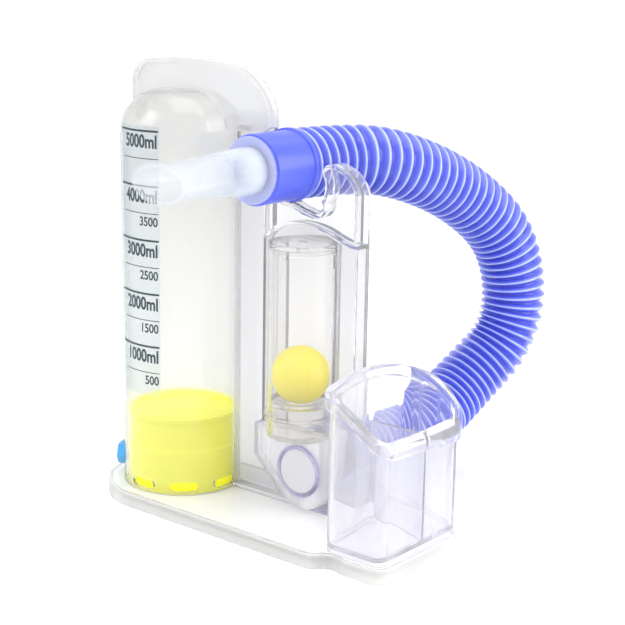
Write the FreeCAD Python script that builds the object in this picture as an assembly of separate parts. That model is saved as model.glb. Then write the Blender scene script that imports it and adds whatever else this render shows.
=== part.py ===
import FreeCAD, Part
import math
import os

# Volumetric incentive spirometer. Millimetres, origin on the floor under the middle of the base.
# +X runs from the volume cylinder to the mouthpiece bay, -Y is the side with the scale, +Z is up.

# Base
base_half_width = 37.5
base_height = 7.0
base_wall = 1.8
base_draft = 0.6
bay_half_width = 32.5
waist_half_width = 30.9
side_end = -4.6
side_bend = (0.0, 1.3)
side_turn = (2.6, 4.2)
waist_middle = 7.3
bay_side_start = 12.4
corner_radius = 8.2
deck_thickness = 2.0
deck_gap = 0.15
ledge_width = 2.4
rib_thickness = 1.4
rib_pitch = 30.0
rib_clearance = 0.4
foot_gap = 1.0

# Volume cylinder
cylinder_setback = 39.8
cylinder_radius = 30.0
wall = 1.6
shoulder_z = 186.0
shoulder_radius = 20.0
seat_depth = 0.8
seat_clearance = 0.1
bond_gap = 0.05
vent_count = 8
vent_angle = 28.0
vent_height = 5.0
vent_z = 11.2
rail_azimuth = 206.0
rail_width = 5.0
rail_neck_width = 3.0
rail_stand_off = 1.4
rail_head_depth = 0.6
rail_top_drop = 2.0
rail_foot_gap = 0.6

# Printed film
film_thickness = 0.2
film_start = -32.0
film_end = 22.8
film_bottom_z = 58.0
film_top_rise = 4.5

# Piston
piston_clearance = 0.3
piston_wall = 1.4
piston_height = 38.6
piston_rest_gap = 0.3
piston_land = 2.4
piston_band_height = 21.5
piston_relief = 0.7
piston_crown_rise = 3.0
piston_crown_step = 1.0
piston_corner_drop = 2.0

# Goal pointer
pointer_height = 10.5
pointer_z = 11.8
pointer_clearance = 0.2
pointer_depth = 3.2
pointer_width = 8.0
pointer_nose = 4.5

# Flow casing: the riser from the cylinder's axis, the ball's axis from the riser
flow_spacing = 28.4
flow_half_width = 28.0
casing_front_y = 5.5
casing_back_y = 14.6
riser_right = 49.6
riser_rise = 11.0
riser_corner = 5.0
arch_drop = 26.6
casing_top_drop = 7.2
brow = [(19.0, -6.0), (10.0, -2.8), (-6.0, 0.0), (-17.0, -1.3), (-24.5, -5.0)]
brow_foot_drop = 13.0
partition_foot_z = 44.0
window_drop = 10.0
window_height = 12.0
window_margin = 0.4

# Cradle and horn
cradle_clearance = 0.9
horn_rise = 2.6
horn_outer = [(28.0, -12.5), (23.8, -5.6), (15.5, -1.0), (11.6, 0.0)]
horn_inner = [(8.6, -1.0), (7.0, -3.0), (7.8, -7.0), (8.0, -14.0)]
horn_foot = (6.0, 2.4)
lip_points = [(5.0, -2.4), (1.0, -4.0), (-6.0, -2.4)]
web_root = 10.0
web_thickness = 2.0
rim_thickness = 2.0

# Ball tube
tube_radius = 16.0
tube_wall = 1.4
tube_bottom_z = 47.0
tube_top_drop = 2.6
ball_radius = 14.0
ball_z = 76.7
ball_rest_gap = 0.3
seat_hole_radius = 7.0
seat_plate = 2.0
seat_slope = 0.25
seat_edge = 0.6
seat_skirt_drop = 0.4
air_slot_half_width = 5.0
tube_fit = 0.05
stop_thickness = 2.4
stop_rim = 1.0
stop_plug = 2.0
stop_hole_radius = 2.2
tube_slot_height = 9.0
tube_slot_half_width = 6.0
tube_slot_angle = 55.0
tube_top_band = 2.0
flange_reach = 1.6
flange_height = 1.6
flange_z = 57.0

# Front manifold and air inlet
port_z = 28.2
drum_radius = 19.3
manifold_front_y = 0.0
duct_tuck = 1.0
duct_slope = 225.0
inlet_radius = 11.0
inlet_wall = 2.0
inlet_stand_off = 2.0
inlet_round = 0.6
filter_thickness = 2.4
filter_gap = 0.1

# Hose port
port_radius = 11.0
port_bore_radius = 9.0
port_reach = 19.0
port_flange_radius = 15.0
port_flange_thickness = 1.6
port_lead = 3.0
port_taper = 0.4
port_spigot = 1.4

# Hose: its two ends follow the cuffs, its bends are measured from the cylinder's axis
hose_offset = 65.0
hose_drop = 11.0
hose_front_run = 21.0
hose_rear_run = 18.8
hose_radius = 17.0
hose_bore_radius = 16.0
cuff_radius = 16.5
cuff_lip = 1.0
cuff_lip_length = 2.2
lower_cuff_length = 22.0
upper_cuff_front_y = -21.0
upper_cuff_length = 27.0
cuff_throat = 14.0
cuff_end_gap = 0.5
mouth_bore_radius = 11.0
mouth_fit = 0.05
hose_bends = [
    (78.5, 62.0, 174.0),
    (87.5, 115.0, 154.0),
    (99.0, 149.0, 123.0),
    (101.5, 152.0, 75.0),
    (87.5, 121.0, 45.5),
    (87.0, 88.0, 30.5),
]
hose_trim = 0.45

# Mouthpiece
stub_length = 19.0
stub_end_gap = 1.0
collar_thickness = 1.6
collar_gap = 0.3
collar_radius = 15.8
mouth_length = 58.0
mouth_half_width = 15.8
mouth_root_spread = 0.001
mouth_stations = [(0.25, 0.35, 0.25), (0.65, 0.9, 0.9)]
mouth_half_height = 8.4
mouth_wall = 1.3
stub_step = 0.3
bite_lip = 0.8
bite_lip_length = 3.0

# Handle
handle_left = -30.6
handle_right = 60.0
handle_rise = 14.4
handle_crown = 1.1
handle_left_curve = [(0.0, -12.0), (3.6, -4.0), (12.0, -0.7)]
handle_middle = 38.0
handle_right_curve = [(-27.0, -0.4), (-9.4, -7.6), (-0.8, -20.0)]
handle_tie = 6.0
handle_hose_clearance = 1.3
handle_width = 7.6
handle_rim = 1.8
handle_web = 2.0
handle_foot_rise = 3.0

# Mouthpiece bay, from the casing's right side
bay_spacing = 10.6
bay_end_gap = 2.4
bay_length = 33.6
bay_depth = 61.2
bay_shift_y = 0.8
bay_wall = 1.7
bay_corner = 6.2
bay_floor_z = 10.6
bay_rim = 2.3
bay_rim_height = 6.0
mouth_front_heights = (80.5, 77.3, 71.0, 64.5)
mouth_middle_heights = (87.0, 82.5, 73.5, 63.0)
mouth_back_heights = (82.0, 81.5, 76.5, 63.5)
divider_y = 3.0
divider_wall = 1.5
divider_top_z = 62.0

# How far a cutting shape runs past what it cuts, and a joined one into what it joins
over = 1.0
tuck = 0.2

# Places that follow from the sizes above
flow_offset = riser_right + flow_spacing
casing_right = flow_offset + flow_half_width
bay_offset = casing_right + bay_spacing
base_length = cylinder_setback + bay_offset + bay_length + bay_end_gap
deck_z = base_height
base_left = -base_length / 2
base_right = base_length / 2
cylinder_x = base_left + cylinder_setback
end_center_x = base_left + base_half_width
flow_x = cylinder_x + flow_offset
bore_radius = cylinder_radius - wall
bay_left = cylinder_x + bay_offset
bay_right = bay_left + bay_length
bay_stock_z = max(mouth_middle_heights) + bay_rim_height
dome_top_z = shoulder_z + shoulder_radius
riser_top_z = shoulder_z + riser_rise
window_low_z = shoulder_z - window_drop
handle_foot_z = shoulder_z + handle_foot_rise
handle_top_z = dome_top_z + handle_rise
hose_x = cylinder_x + hose_offset
hose_z = shoulder_z - hose_drop
horn_top_z = hose_z + horn_rise
arch_z = hose_z - arch_drop
casing_top_z = arch_z - casing_top_drop
tube_top_z = casing_top_z - tube_top_drop
tube_bore = tube_radius - tube_wall
piston_radius = bore_radius - piston_clearance
piston_bottom_z = deck_z + piston_rest_gap


def vec(x, y, z):
    return FreeCAD.Vector(x, y, z)


X_AXIS = vec(1, 0, 0)
Y_AXIS = vec(0, 1, 0)
Z_AXIS = vec(0, 0, 1)


def block(x0, y0, z0, x1, y1, z1):
    return Part.makeBox(x1 - x0, y1 - y0, z1 - z0, vec(x0, y0, z0))


def rod(radius, start, length, axis):
    return Part.makeCylinder(radius, length, start, axis)


def pipe(outer, inner, start, length, axis):
    return rod(outer, start, length, axis).cut(rod(inner, start, length, axis))


def flat(x, y):
    return vec(x, y, 0)


def side(x, z):
    return vec(x, 0, z)


def outline(place, start, steps):
    """A closed wire: a pair is a line's end, four numbers are an arc's middle and end."""
    edges = []
    here = start
    for step in steps:
        there = step[-2:]
        if len(step) == 2:
            edges.append(Part.LineSegment(place(*here), place(*there)).toShape())
        else:
            edges.append(Part.Arc(place(*here), place(*step[:2]), place(*there)).toShape())
        here = there
    return Part.Wire(edges)


def plate(face, y0, y1):
    """A front-view face at y = 0, made into a plate from y0 to y1."""
    moved = face.copy()
    moved.translate(vec(0, y0, 0))
    return moved.extrude(vec(0, y1 - y0, 0))


def spun(start, steps, x, y):
    """A profile of radius and height, turned about the vertical line through x, y."""
    face = Part.Face(outline(side, start, steps))
    solid = face.revolve(vec(0, 0, 0), Z_AXIS, 360)
    solid.translate(vec(x, y, 0))
    return solid


def turned(start, steps, x, z):
    """A profile of radius and depth, turned about the front-to-back line through x, z."""
    face = Part.Face(outline(flat, start, steps))
    solid = face.revolve(vec(0, 0, 0), Y_AXIS, 360)
    solid.translate(vec(x, 0, z))
    return solid


def base_wire(inset):
    """The base's plan: a round end, two straight sides, a waist and a square bay end."""
    reach = base_right - corner_radius
    corner_y = bay_half_width - corner_radius
    sag = corner_radius * math.sqrt(0.5)
    side_x = bay_left + side_end
    waist_x = bay_left + waist_middle
    bay_x = bay_left + bay_side_start
    bend_x = bay_left + side_bend[0]
    bend_y = base_half_width - side_bend[1]
    turn_x = bay_left + side_turn[0]
    turn_y = base_half_width - side_turn[1]
    wire = outline(flat, (end_center_x, -base_half_width), [
        (side_x, -base_half_width),
        (bend_x, -bend_y, turn_x, -turn_y),
        (waist_x, -waist_half_width, bay_x, -bay_half_width),
        (reach, -bay_half_width),
        (reach + sag, -corner_y - sag, base_right, -corner_y),
        (base_right, corner_y),
        (reach + sag, corner_y + sag, reach, bay_half_width),
        (bay_x, bay_half_width),
        (waist_x, waist_half_width, turn_x, turn_y),
        (bend_x, bend_y, side_x, base_half_width),
        (end_center_x, base_half_width),
        (base_left, 0, end_center_x, -base_half_width),
    ])
    if inset == 0:
        return wire
    return Part.Face(wire).makeOffset2D(-inset).OuterWire


def prism(wire, z0, z1):
    moved = wire.copy()
    moved.translate(vec(0, 0, z0))
    return Part.Face(moved).extrude(vec(0, 0, z1 - z0))


def make_base_skirt():
    foot = base_wire(0)
    rim = base_wire(base_draft)
    rim.translate(vec(0, 0, base_height))
    body = Part.makeLoft([foot, rim], True, True)
    hollow = prism(base_wire(base_draft + base_wall), -over, base_height + over)
    ledge_top = base_height - deck_thickness
    ledge = prism(base_wire(base_draft + base_wall - tuck), ledge_top - base_wall, ledge_top)
    ledge = ledge.cut(prism(base_wire(base_draft + base_wall + ledge_width), -over, base_height))
    return body.cut(hollow).fuse(ledge)


def make_base_deck():
    low = deck_z - deck_thickness
    deck = prism(base_wire(base_draft + base_wall + deck_gap), low, deck_z)
    groove = pipe(cylinder_radius + seat_clearance, bore_radius - seat_clearance,
                  vec(cylinder_x, 0, deck_z - seat_depth), seat_depth + over, Z_AXIS)
    deck = deck.cut(groove)
    rib_room = prism(base_wire(base_draft + base_wall + ledge_width + rib_clearance), foot_gap, low)
    ribs = []
    for side_y in (-1, 1):
        y = side_y * rib_pitch / 2
        ribs.append(block(base_left, y - rib_thickness / 2, foot_gap, base_right, y + rib_thickness / 2, low))
    count = int(base_length / rib_pitch)
    for index in range(count):
        x = (index - (count - 1) / 2) * rib_pitch
        ribs.append(block(x - rib_thickness / 2, -base_half_width, foot_gap,
                          x + rib_thickness / 2, base_half_width, low))
    grid = ribs[0].multiFuse(ribs[1:])
    return deck.fuse(grid.common(rib_room))


def shell_profile(radius, foot_z, shrink):
    """Half of the cylinder's outline, from its foot up over the shoulder to the crown."""
    bend = shoulder_radius - shrink
    center = cylinder_radius - shoulder_radius
    middle = math.sqrt(0.5) * bend
    return (radius, foot_z), [
        (radius, shoulder_z),
        (center + middle, shoulder_z + middle, center, shoulder_z + bend),
        (0, shoulder_z + bend),
        (0, foot_z),
        (radius, foot_z),
    ]


def chamber_outside(extra):
    start, steps = shell_profile(cylinder_radius + extra, deck_z - seat_depth, -extra)
    return spun(start, steps, cylinder_x, 0)


def vent_cutter():
    radius = vent_height / 2
    half = math.sin(math.radians(vent_angle / 2)) * cylinder_radius - radius
    front = -cylinder_radius - over
    depth = over + cylinder_radius - bore_radius * math.cos(math.radians(vent_angle / 2)) + over
    slot = block(-half, front, vent_z - radius, half, front + depth, vent_z + radius)
    for end in (-half, half):
        slot = slot.fuse(rod(radius, vec(end, front, vent_z), depth, Y_AXIS))
    slot.translate(vec(cylinder_x, 0, 0))
    return slot


def at_rail(shape):
    """Turn a piece drawn on the cylinder's +X side round to the goal rail."""
    shape.translate(vec(cylinder_x, 0, 0))
    shape.rotate(vec(cylinder_x, 0, 0), Z_AXIS, rail_azimuth)
    return shape


def rail_section(grow):
    """The T of the goal rail, seen from above, with its head grown for the pointer's track."""
    face_x = cylinder_radius + rail_stand_off
    head_x = face_x - rail_head_depth
    neck = block(cylinder_radius - wall / 2, -rail_neck_width / 2 - grow, 0, head_x + tuck,
                 rail_neck_width / 2 + grow, over)
    head = block(head_x - grow, -rail_width / 2 - grow, 0, face_x + grow, rail_width / 2 + grow, over)
    return neck.fuse(head)


def rail_between(grow, z0, z1):
    section = rail_section(grow)
    bottom = [face for face in section.removeSplitter().Faces if abs(face.CenterOfMass.z) < 1e-6][0]
    rail = bottom.extrude(vec(0, 0, z1 - z0))
    rail.translate(vec(0, 0, z0))
    return at_rail(rail)


def make_volume_chamber():
    start, steps = shell_profile(bore_radius, deck_z - seat_depth - over, wall)
    chamber = chamber_outside(0).cut(spun(start, steps, cylinder_x, 0))
    chamber = chamber.fuse(rail_between(0, deck_z + rail_foot_gap, shoulder_z - rail_top_drop).cut(
        rod(bore_radius + wall / 2, vec(cylinder_x, 0, 0), dome_top_z, Z_AXIS)))
    slot = vent_cutter()
    for index in range(vent_count):
        turn = slot.copy()
        turn.rotate(vec(cylinder_x, 0, 0), Z_AXIS, index * 360 / vent_count)
        chamber = chamber.cut(turn)
    window = block(cylinder_x + bore_radius / 2, casing_front_y + wall + window_margin, window_low_z,
                   cylinder_x + cylinder_radius + over, casing_back_y - wall - window_margin,
                   window_low_z + window_height)
    return chamber.cut(window)


def wedge(radius, start_angle, end_angle, z0, z1):
    """A pie slice about the cylinder, its angles counted from the front towards +X."""
    slice_solid = Part.makeCylinder(radius, z1 - z0, vec(0, 0, z0), Z_AXIS, end_angle - start_angle)
    slice_solid.rotate(vec(0, 0, 0), Z_AXIS, start_angle - 90)
    slice_solid.translate(vec(cylinder_x, 0, 0))
    return slice_solid


def make_scale_label():
    film = chamber_outside(bond_gap + film_thickness).cut(chamber_outside(bond_gap))
    return film.common(wedge(cylinder_radius + over, film_start, film_end, film_bottom_z,
                             shoulder_z + film_top_rise))


def cap_height(radius, rise, at):
    """How far a round cap of this radius and rise stands above its edge at a smaller radius."""
    ball = (radius ** 2 + rise ** 2) / (2 * rise)
    return rise - ball + math.sqrt(ball ** 2 - at ** 2)


def make_volume_piston():
    top_z = piston_bottom_z + piston_height
    crown_z = top_z - piston_crown_rise
    outer = piston_radius
    waist = outer - piston_relief
    band_z = piston_bottom_z + piston_band_height
    inner = waist - piston_wall
    crown = inner - piston_crown_step
    middle = cap_height(crown, piston_crown_rise, crown / 2)
    start = (inner, piston_bottom_z)
    steps = [
        (outer, piston_bottom_z),
        (outer, band_z),
        (waist, band_z + piston_relief),
        (waist, top_z - piston_land - piston_relief),
        (outer, top_z - piston_land),
        (outer, top_z),
        (outer - piston_wall, top_z),
        (crown, crown_z),
        (crown / 2, crown_z + middle, 0, crown_z + piston_crown_rise),
        (0, crown_z + piston_crown_rise - piston_wall),
        (crown / 2, crown_z + middle - piston_wall, crown, crown_z - piston_wall),
        (inner, crown_z - piston_wall - piston_corner_drop),
        (inner, piston_bottom_z),
    ]
    return spun(start, steps, cylinder_x, 0)


def make_goal_pointer():
    inner = cylinder_radius + pointer_clearance
    outer = cylinder_radius + rail_stand_off + pointer_depth
    half = pointer_width / 2
    top = pointer_z + pointer_height
    face = Part.Face(outline(lambda y, z: vec(0, y, z), (-half, pointer_z), [
        (half, pointer_z),
        (half + pointer_nose, pointer_z + pointer_height / 2),
        (half, top),
        (-half, top),
        (-half, pointer_z),
    ]))
    body = face.extrude(vec(outer + over, 0, 0))
    shell = rod(outer, vec(0, 0, 0), dome_top_z, Z_AXIS)
    shell = shell.cut(rod(inner, vec(0, 0, 0), dome_top_z, Z_AXIS))
    pointer = at_rail(body.common(shell))
    return pointer.cut(rail_between(pointer_clearance, 0, dome_top_z))


def bite_face(grow):
    """The round clearance that the hose lies in, seen from the front."""
    circle = Part.Circle(vec(hose_x, 0, hose_z), Y_AXIS, hose_radius + cradle_clearance + grow)
    return Part.Face(Part.Wire(circle.toShape()))


def casing_solid(inset, y0, y1):
    """The riser and the ball side as one plate, drawn in by a wall where asked."""
    left = cylinder_x + bore_radius / 2 + inset
    riser_x = cylinder_x + riser_right - inset
    top = riser_top_z - inset
    foot = deck_z + inset
    right = cylinder_x + casing_right - inset
    corner = riser_corner
    sag = corner * (1 - math.sqrt(0.5))
    riser = Part.Face(outline(side, (left, foot), [
        (riser_x, foot),
        (riser_x, top - corner),
        (riser_x - sag, top - sag, riser_x - corner, top),
        (left, top),
        (left, foot),
    ]))
    main_left = cylinder_x + riser_right - 2 * wall
    edge = [(flow_x + x, arch_z + z - inset) for x, z in brow]
    ball_side = Part.Face(outline(side, (main_left, foot), [
        (right, foot),
        (right, casing_top_z - inset),
        edge[0] + edge[1],
        edge[2] + edge[3],
        edge[4] + (main_left, arch_z - brow_foot_drop - inset),
        (main_left, foot),
    ]))
    tall = plate(riser, y0, y1).cut(plate(bite_face(inset), y0 - over, y1 + over))
    return tall.fuse(plate(ball_side, y0, y1)).removeSplitter()


def horn_face():
    """The cradle plate above the casing: a low lip under the hose and a horn at its right."""
    left = cylinder_x + riser_right - wall
    low = casing_top_z - web_root
    lip_z = hose_z - hose_radius - cradle_clearance
    outer = [(flow_x + x, horn_top_z + z) for x, z in horn_outer]
    inner = [(flow_x + x, horn_top_z + z) for x, z in horn_inner]
    lip = [(flow_x + x, lip_z + z) for x, z in lip_points]
    return Part.Face(outline(side, (left, low), [
        (outer[0][0], low),
        outer[0],
        outer[1] + outer[2],
        outer[3] + inner[0],
        inner[1] + inner[2],
        inner[3] + (flow_x + horn_foot[0], lip_z + horn_foot[1]),
        lip[0] + lip[1],
        lip[2],
        (hose_x, lip_z),
        (left, hose_z - hose_radius / 2),
        (left, low),
    ])).cut(bite_face(0)).Faces[0]


def make_rear_casing():
    before_y = casing_front_y - over
    behind_y = casing_back_y + over
    outside = casing_solid(0, casing_front_y, casing_back_y)
    inside = casing_solid(wall, casing_front_y + wall, behind_y)
    divider_x = cylinder_x + riser_right - wall
    divider = block(divider_x, casing_front_y, partition_foot_z, divider_x + wall, casing_back_y - wall,
                    casing_top_z)
    casing = outside.cut(inside).fuse(divider)
    horn = horn_face()
    inner_horn = horn.makeOffset2D(-rim_thickness)
    web_y = (casing_front_y + casing_back_y - web_thickness) / 2
    rim = plate(horn, casing_front_y, casing_back_y).cut(plate(inner_horn, before_y, behind_y))
    web = plate(horn, web_y, web_y + web_thickness)
    cradle = rim.fuse(web).cut(casing_solid(wall / 2, before_y, behind_y))
    casing = casing.fuse(cradle).cut(chamber_outside(bond_gap))
    hose_room = plate(bite_face(0), before_y, behind_y)
    return casing.cut(tube_rooms()).cut(hose_room).removeSplitter()


def tube_rooms():
    """What the ball tube and its flange take out of the casing and its cover."""
    body = rod(tube_radius + tube_fit, vec(flow_x, 0, tube_bottom_z - tube_fit),
               tube_top_z + stop_thickness - tube_bottom_z + 2 * tube_fit, Z_AXIS)
    flange = rod(tube_radius + flange_reach + tube_fit, vec(flow_x, 0, flange_z - tube_fit),
                 flange_height + 2 * tube_fit, Z_AXIS)
    return body.fuse(flange)


def make_rear_cover():
    """The back plate, swelling out in a half round behind the ball tube."""
    inset = wall + tube_fit
    front_y = casing_back_y - wall
    cover = casing_solid(inset, front_y, casing_back_y)
    port_hole = rod(port_radius + tube_fit, vec(flow_x, front_y - over, port_z), wall + 2 * over, Y_AXIS)
    top_z = tube_top_z + stop_thickness
    reach = tube_radius + flange_reach + wall
    bulge = pipe(reach, tube_radius + tube_fit, vec(flow_x, 0, tube_bottom_z), top_z - tube_bottom_z, Z_AXIS)
    bulge = bulge.common(casing_solid(inset, front_y, front_y + reach))
    cover = cover.fuse(bulge).cut(chamber_outside(bond_gap))
    return cover.cut(tube_rooms()).cut(port_hole).removeSplitter()


def make_ball_tube():
    length = tube_top_z - tube_bottom_z
    tube = pipe(tube_radius, tube_bore, vec(flow_x, 0, tube_bottom_z), length, Z_AXIS)
    flange = pipe(tube_radius + flange_reach, tube_bore, vec(flow_x, 0, flange_z), flange_height, Z_AXIS)
    slot = block(flow_x - tube_slot_half_width, 0, tube_top_z - tube_slot_height,
                 flow_x + tube_slot_half_width, tube_radius + over, tube_top_z - tube_top_band)
    for angle in (tube_slot_angle, -tube_slot_angle):
        turn = slot.copy()
        turn.rotate(vec(flow_x, 0, 0), Z_AXIS, angle)
        tube = tube.cut(turn)
    return tube.fuse(flange)


def make_ball_seat():
    """A funnel in the tube's foot: the ball rests in its hole and air comes up from behind."""
    contact = math.sqrt(ball_radius ** 2 - seat_hole_radius ** 2)
    lip_z = ball_z - contact - ball_rest_gap
    radius = tube_bore - tube_fit
    rim_z = lip_z + (radius - seat_hole_radius) * seat_slope - seat_edge - seat_skirt_drop
    floor_z = tube_bottom_z + seat_plate
    seat = spun((seat_hole_radius, lip_z - seat_plate), [
        (radius - wall, lip_z - seat_plate),
        (radius - wall, floor_z),
        (0, floor_z),
        (0, tube_bottom_z),
        (radius, tube_bottom_z),
        (radius, rim_z),
        (seat_hole_radius, lip_z - seat_edge),
        (seat_hole_radius, lip_z - seat_plate),
    ], flow_x, 0)
    inlet = block(flow_x - air_slot_half_width, manifold_front_y + wall, tube_bottom_z - over,
                  flow_x + air_slot_half_width, casing_front_y, floor_z + over)
    return seat.cut(inlet)


def make_ball_stop():
    stop = rod(tube_radius, vec(flow_x, 0, tube_top_z), stop_thickness, Z_AXIS)
    plug_radius = tube_bore - tube_fit
    plug_z = tube_top_z - stop_plug
    plug = pipe(plug_radius, plug_radius - stop_rim, vec(flow_x, 0, plug_z), stop_plug, Z_AXIS)
    hole = rod(stop_hole_radius, vec(flow_x, 0, plug_z), stop_plug + stop_thickness + over, Z_AXIS)
    return stop.fuse(plug).cut(hole)


def manifold_face(inset):
    """The drum and the duct that slopes from it to the riser, seen from the front."""
    radius = drum_radius - inset
    left = cylinder_x + riser_right + inset - duct_tuck
    top = tube_bottom_z - inset
    slope = math.radians(duct_slope)
    touch = (flow_x + radius * math.cos(slope), port_z + radius * math.sin(slope))
    low = (left, touch[1] + (touch[0] - left))
    right = flow_x + radius
    return Part.Face(outline(side, (left, top), [
        low,
        touch,
        (flow_x, port_z - radius, right, port_z),
        (right, top),
        (left, top),
    ]))


def make_front_manifold():
    shell = plate(manifold_face(0), manifold_front_y, casing_front_y)
    shell = shell.cut(plate(manifold_face(wall), manifold_front_y + wall, casing_front_y + over))
    hole = rod(inlet_radius, vec(flow_x, manifold_front_y - over, port_z), wall + 2 * over, Y_AXIS)
    top_slot = block(flow_x - air_slot_half_width, manifold_front_y + wall, tube_bottom_z - wall - over,
                     flow_x + air_slot_half_width, casing_front_y + over, tube_bottom_z + over)
    floor_room = block(base_left, -base_half_width, 0, base_right, base_half_width, deck_z)
    return shell.cut(hole).cut(top_slot).cut(floor_room)


def make_inlet_ring():
    front = manifold_front_y - inlet_stand_off
    outer = inlet_radius + inlet_wall
    return turned((inlet_radius, front + inlet_round), [
        (inlet_radius + inlet_round, front),
        (outer - inlet_round, front),
        (outer, front + inlet_round),
        (outer, manifold_front_y),
        (inlet_radius, manifold_front_y),
        (inlet_radius, front + inlet_round),
    ], flow_x, port_z)


def make_inlet_filter():
    return rod(inlet_radius - filter_gap, vec(flow_x, manifold_front_y - filter_thickness / 2, port_z),
               filter_thickness, Y_AXIS)


def make_hose_port():
    tip = casing_back_y + port_reach
    root = casing_back_y - wall - port_spigot
    return turned((port_bore_radius, root), [
        (port_radius, root),
        (port_radius, casing_back_y),
        (port_flange_radius, casing_back_y),
        (port_flange_radius, casing_back_y + port_flange_thickness),
        (port_radius, casing_back_y + port_flange_thickness),
        (port_radius, tip - port_lead),
        (port_radius - port_taper, tip),
        (port_bore_radius, tip),
        (port_bore_radius, root),
    ], flow_x, port_z)


def cuff(front, length, bore, step, lip_y, x, z):
    """A soft sleeve with a lip, its bore opening to the hose's own behind the piece it grips."""
    back = front + length
    body = turned((bore, front), [
        (cuff_radius, front),
        (cuff_radius, back),
        (cuff_throat, back),
        (cuff_throat, step),
        (bore, step),
        (bore, front),
    ], x, z)
    lip = pipe(cuff_radius + cuff_lip, cuff_radius - tuck, vec(x, lip_y, z), cuff_lip_length, Y_AXIS)
    return body.fuse(lip)


def make_lower_cuff():
    front = casing_back_y + port_flange_thickness
    step = casing_back_y + port_reach + cuff_end_gap
    return cuff(front, lower_cuff_length, port_radius + tube_fit, step, front, flow_x, port_z)


def make_upper_cuff():
    front = upper_cuff_front_y
    step = front + stub_length + stub_end_gap
    lip_y = front + upper_cuff_length - cuff_lip_length
    return cuff(front, upper_cuff_length, mouth_bore_radius + mouth_fit, step, lip_y, hose_x, hose_z)


def hose_points():
    """The route's corners, from the upper cuff round to the lower one."""
    front_y = upper_cuff_front_y + upper_cuff_length
    back_y = casing_back_y + port_flange_thickness + lower_cuff_length
    points = [vec(hose_x, front_y, hose_z), vec(hose_x, front_y + hose_front_run, hose_z)]
    points += [vec(cylinder_x + x, y, z) for x, y, z in hose_bends]
    points += [vec(flow_x, back_y + hose_rear_run, port_z), vec(flow_x, back_y, port_z)]
    return points


def hose_spine():
    """Straight runs joined by tangent arcs, each as large as its two runs allow."""
    points = hose_points()
    edges = []
    radii = []
    here = points[0]
    for index in range(1, len(points) - 1):
        point = points[index]
        back = points[index - 1] - point
        ahead = points[index + 1] - point
        half_turn = (math.pi - back.getAngle(ahead)) / 2
        trim = hose_trim * min(back.Length, ahead.Length)
        radius = trim / math.tan(half_turn)
        radii.append(round(radius, 1))
        back.normalize()
        ahead.normalize()
        first = point + back * trim
        last = point + ahead * trim
        inward = (back + ahead).normalize()
        center = point + inward * (radius / math.cos(half_turn))
        middle = center - inward * radius
        edges.append(Part.LineSegment(here, first).toShape())
        edges.append(Part.Arc(first, middle, last).toShape())
        here = last
    edges.append(Part.LineSegment(here, points[-1]).toShape())
    spine = Part.Wire(edges)
    return spine, radii


def swept(spine, radius):
    circle = Part.Circle(hose_points()[0], Y_AXIS, radius)
    section = Part.Wire(circle.toShape())
    return spine.makePipeShell([section], True, False)


def make_breathing_hose():
    spine, radii = hose_spine()
    tube = swept(spine, hose_radius).cut(swept(spine, hose_bore_radius))
    area = math.pi * (hose_radius ** 2 - hose_bore_radius ** 2)
    print("hose length", round(spine.Length, 1), "arc radii", radii)
    print("hose volume over section times length", round(tube.Volume / (area * spine.Length), 4))
    return tube


def oval(y, half_width, half_height):
    ellipse = Part.Ellipse(vec(0, 0, 0), half_width, half_height)
    wire = Part.Wire(ellipse.toShape())
    wire.rotate(vec(0, 0, 0), X_AXIS, 90)
    wire.translate(vec(hose_x, y, hose_z))
    return wire


def mouth_loft(shrink, extra):
    """The mouthpiece's length, each station set by its shares of the length, widening and flattening."""
    front = upper_cuff_front_y - collar_thickness
    radius = mouth_bore_radius - shrink
    wide = mouth_half_width - shrink
    tall = mouth_half_height - shrink
    stations = [oval(front + extra, radius + mouth_root_spread, radius)]
    for along, widened, flattened in mouth_stations:
        stations.append(oval(front - mouth_length * along, radius + (wide - radius) * widened,
                             radius - (radius - tall) * flattened))
    stations.append(oval(front - mouth_length - extra, wide, tall))
    return Part.makeLoft(stations, True, False)


def make_mouthpiece():
    front = upper_cuff_front_y - collar_thickness
    stub = rod(mouth_bore_radius, vec(hose_x, upper_cuff_front_y, hose_z), stub_length, Y_AXIS)
    collar = rod(collar_radius, vec(hose_x, front, hose_z), collar_thickness - collar_gap, Y_AXIS)
    neck = rod(mouth_bore_radius, vec(hose_x, front, hose_z), collar_thickness, Y_AXIS)
    tip = front - mouth_length
    lip_width = mouth_half_width + bite_lip
    lip_height = mouth_half_height + bite_lip
    lip = Part.makeLoft([oval(tip, lip_width, lip_height), oval(tip + bite_lip_length, lip_width, lip_height)],
                        True, True)
    outside = mouth_loft(0, 0).fuse(stub).fuse(collar).fuse(neck).fuse(lip)
    bore = rod(mouth_bore_radius - mouth_wall - stub_step, vec(hose_x, front - over, hose_z),
               collar_thickness + stub_length + 2 * over, Y_AXIS)
    return outside.cut(mouth_loft(mouth_wall, over)).cut(bore)


def arch_face(inset):
    """The handle's arch, seen from the front."""
    left = cylinder_x + handle_left + inset
    right = cylinder_x + handle_right - inset
    top = handle_top_z - inset
    rise = [(left + x, top + z) for x, z in handle_left_curve]
    fall = [(right + x, top + z) for x, z in handle_right_curve]
    return Part.Face(outline(side, (left, handle_foot_z), [
        rise[0],
        rise[1] + rise[2],
        (left + handle_middle, top + handle_crown) + fall[0],
        fall[1] + fall[2],
        (right, handle_foot_z),
        (left, handle_foot_z),
    ]))


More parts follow.
